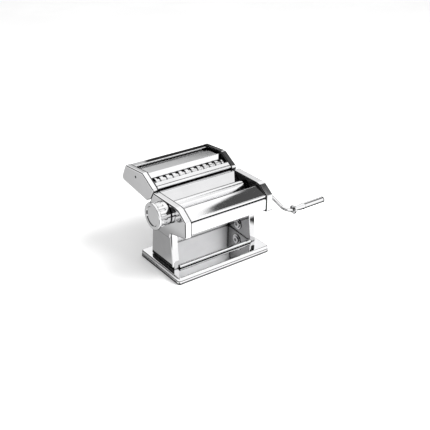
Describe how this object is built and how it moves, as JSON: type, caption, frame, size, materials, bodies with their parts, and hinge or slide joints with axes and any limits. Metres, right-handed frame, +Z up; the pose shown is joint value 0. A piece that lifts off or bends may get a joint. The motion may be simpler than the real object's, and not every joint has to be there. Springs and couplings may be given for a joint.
{
  "type": "pasta roller machine",
  "caption": "Hand-cranked chromed pasta machine: pedestal base, smooth dough rollers with a gap knob, a crank, and a lift-off cutter unit with wide and thin cutting rollers.",
  "frame": {"origin": "centre of the base footprint, on the table under the rubber pad", "axes": "+Z up; X along the rollers with the crank on +X and the regulator knob on -X; the apron faces -Y and the cutter unit is on +Y"},
  "size_m": [0.3236, 0.2229, 0.1605],
  "materials": {
    "base_chrome": "mirror polish",
    "pedestal_chrome": "mirror polish",
    "cap_chrome": "polished",
    "cover_chrome": "polished",
    "frame_steel": "dark satin",
    "roller_metal": "polished",
    "gear_steel": "machined",
    "cutter_metal": "polished",
    "crank_chrome": "polished",
    "grip_chrome": "polished",
    "knob_chrome": "polished",
    "screw_steel": "machined",
    "pad_rubber": "matte",
    "wall_steel": "satin"
  },
  "bodies": {
    "machine": {"base_plate": "base_chrome", "base_pad": "pad_rubber", "left_leg": "pedestal_chrome", "right_leg": "pedestal_chrome", "back_wall": "wall_steel", "floor_pan": "pedestal_chrome", "leg_boss": "pedestal_chrome", "boss_screw": "screw_steel", "left_side_cap": "cap_chrome", "right_side_cap": "cap_chrome", "left_frame": "frame_steel", "right_frame": "frame_steel", "frame_rods": "frame_steel", "rod_nuts": "screw_steel", "rear_bushes": "gear_steel", "rear_panel": "cover_chrome", "front_cover": "cover_chrome", "front_apron": "cover_chrome", "front_scraper": "frame_steel", "rear_scraper": "frame_steel", "cutter_rails": "frame_steel"},
    "crank_roller": {"rear_roller": "roller_metal", "rear_roller_gear": "gear_steel"},
    "crank": {"crank_rod": "crank_chrome", "handle_collar": "crank_chrome"},
    "handle": {"crank_grip": "grip_chrome", "crank_grip_cap": "grip_chrome"},
    "roller_bearings": {"left_bearing_block": "gear_steel", "right_bearing_block": "gear_steel"},
    "adjustable_roller": {"front_roller": "roller_metal", "front_roller_gear": "gear_steel"},
    "knob_shaft": {"knob_spindle": "gear_steel"},
    "knob": {"knob_disc": "knob_chrome", "knob_grip": "knob_chrome"},
    "cutter": {"cutter_left_cap": "cap_chrome", "cutter_right_cap": "cap_chrome", "cutter_left_frame": "frame_steel", "cutter_right_frame": "frame_steel", "cutter_rods": "frame_steel", "cutter_front_bar": "cover_chrome", "cutter_front_plate": "cover_chrome", "cutter_middle_panel": "cover_chrome", "cutter_rear_cover": "cover_chrome", "wide_front_stripper": "frame_steel", "wide_rear_stripper": "frame_steel", "thin_front_stripper": "frame_steel", "thin_rear_stripper": "frame_steel", "cutter_clips": "frame_steel"},
    "wide_rear": {"wide_cutter_rear": "cutter_metal", "wide_cutter_rear_gear": "gear_steel"},
    "wide_front": {"wide_cutter_front": "cutter_metal", "wide_cutter_front_gear": "gear_steel"},
    "thin_rear": {"thin_cutter_rear": "cutter_metal", "thin_cutter_rear_gear": "gear_steel"},
    "thin_front": {"thin_cutter_front": "cutter_metal", "thin_cutter_front_gear": "gear_steel"}
  },
  "joints": [
    {"name": "crank_turn", "type": "hinge", "parent": "machine", "child": "crank_roller", "pos_m": [0, 0.00995, 0.11294], "axis": [1, 0, 0], "continuous": true},
    {"name": "crank_pull_out", "type": "slide", "parent": "crank_roller", "child": "crank", "axis": [1, 0, 0], "range_m": [0, 0.03]},
    {"name": "handle_spin", "type": "hinge", "parent": "crank", "child": "handle", "pos_m": [0, -0.0817, 0.0828], "axis": [1, 0, 0], "continuous": true},
    {"name": "roller_gap", "type": "slide", "parent": "machine", "child": "roller_bearings", "axis": [0, -0.9613, 0.2756], "range_m": [0, 0.0019]},
    {"name": "front_roller_turn", "type": "hinge", "parent": "roller_bearings", "child": "adjustable_roller", "pos_m": [0, -0.0112, 0.119], "axis": [1, 0, 0], "continuous": true},
    {"name": "knob_pull", "type": "slide", "parent": "machine", "child": "knob_shaft", "axis": [-1, 0, 0], "range_m": [0, 0.003], "stiffness_N_per_m": 800, "springref_m": -0.002},
    {"name": "knob_turn", "type": "hinge", "parent": "knob_shaft", "child": "knob", "pos_m": [0, -0.0141, 0.1166], "axis": [1, 0, 0], "range_deg": [0, 240]},
    {"name": "cutter_lift_off", "type": "slide", "parent": "machine", "child": "cutter", "axis": [0, 0, 1], "range_m": [0, 0.04]},
    {"name": "wide_rear_turn", "type": "hinge", "parent": "cutter", "child": "wide_rear", "pos_m": [0, 0.06402, 0.13536], "axis": [1, 0, 0], "continuous": true},
    {"name": "wide_front_turn", "type": "hinge", "parent": "cutter", "child": "wide_front", "pos_m": [0, 0.0488, 0.1409], "axis": [1, 0, 0], "continuous": true},
    {"name": "thin_rear_turn", "type": "hinge", "parent": "cutter", "child": "thin_rear", "pos_m": [0, 0.1127, 0.1426], "axis": [1, 0, 0], "continuous": true},
    {"name": "thin_front_turn", "type": "hinge", "parent": "cutter", "child": "thin_front", "pos_m": [0, 0.0954, 0.1426], "axis": [1, 0, 0], "continuous": true}
  ],
  "couplings": [
    {"joint": "front_roller_turn", "follows": "crank_turn", "ratio": -1},
    {"joint": "roller_gap", "follows": "knob_turn", "m_per_rad": 0.00045314},
    {"joint": "wide_front_turn", "follows": "wide_rear_turn", "ratio": -1},
    {"joint": "thin_front_turn", "follows": "thin_rear_turn", "ratio": -1}
  ]
}
